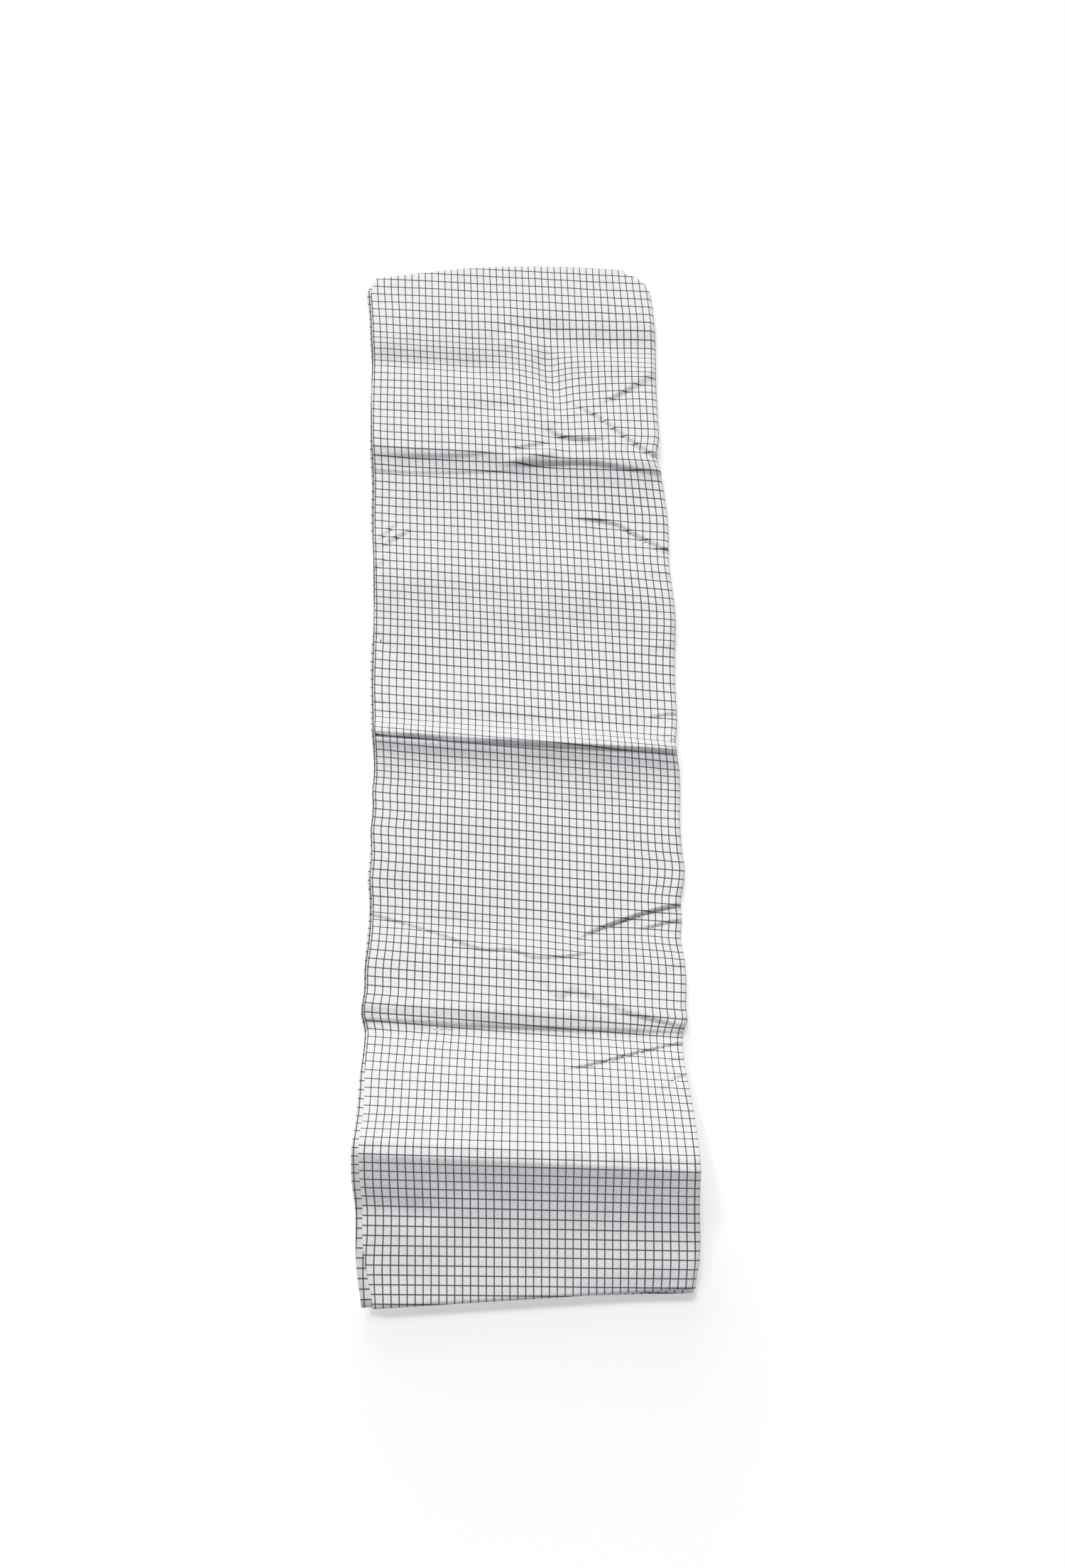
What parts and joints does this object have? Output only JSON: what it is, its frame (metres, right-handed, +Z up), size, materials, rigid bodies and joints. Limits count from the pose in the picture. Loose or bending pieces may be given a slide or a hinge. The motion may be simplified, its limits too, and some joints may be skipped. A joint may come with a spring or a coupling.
{
  "type": "folded lungi",
  "caption": "Long strip of folded checked cotton cloth lying on a surface, with raised crosswise packing creases, a rolled fold along one side and stacked ply edges along the other.",
  "frame": {"origin": "on the surface the strip lies on, under the middle of its outline", "axes": "+Z up; +Y along the strip from its two hems to the far fold; +X towards the rolled fold"},
  "size_m": [0.3112, 1.0394, 0.074],
  "materials": {
    "face_cloth": "plain-woven cotton, starched, off-white with thin charcoal checks, faint sheen",
    "under_cloth": "the same checked cotton, seen at its edges",
    "ply_edges": "the same checked cotton, stacked folds and selvedges, slightly creamier"
  },
  "bodies": {
    "root": {"top_panel": "face_cloth", "second_panel": "under_cloth", "hidden_layers": "ply_edges", "bottom_panel": "under_cloth", "side_fold": "face_cloth", "end_fold": "face_cloth"}
  },
  "joints": []
}
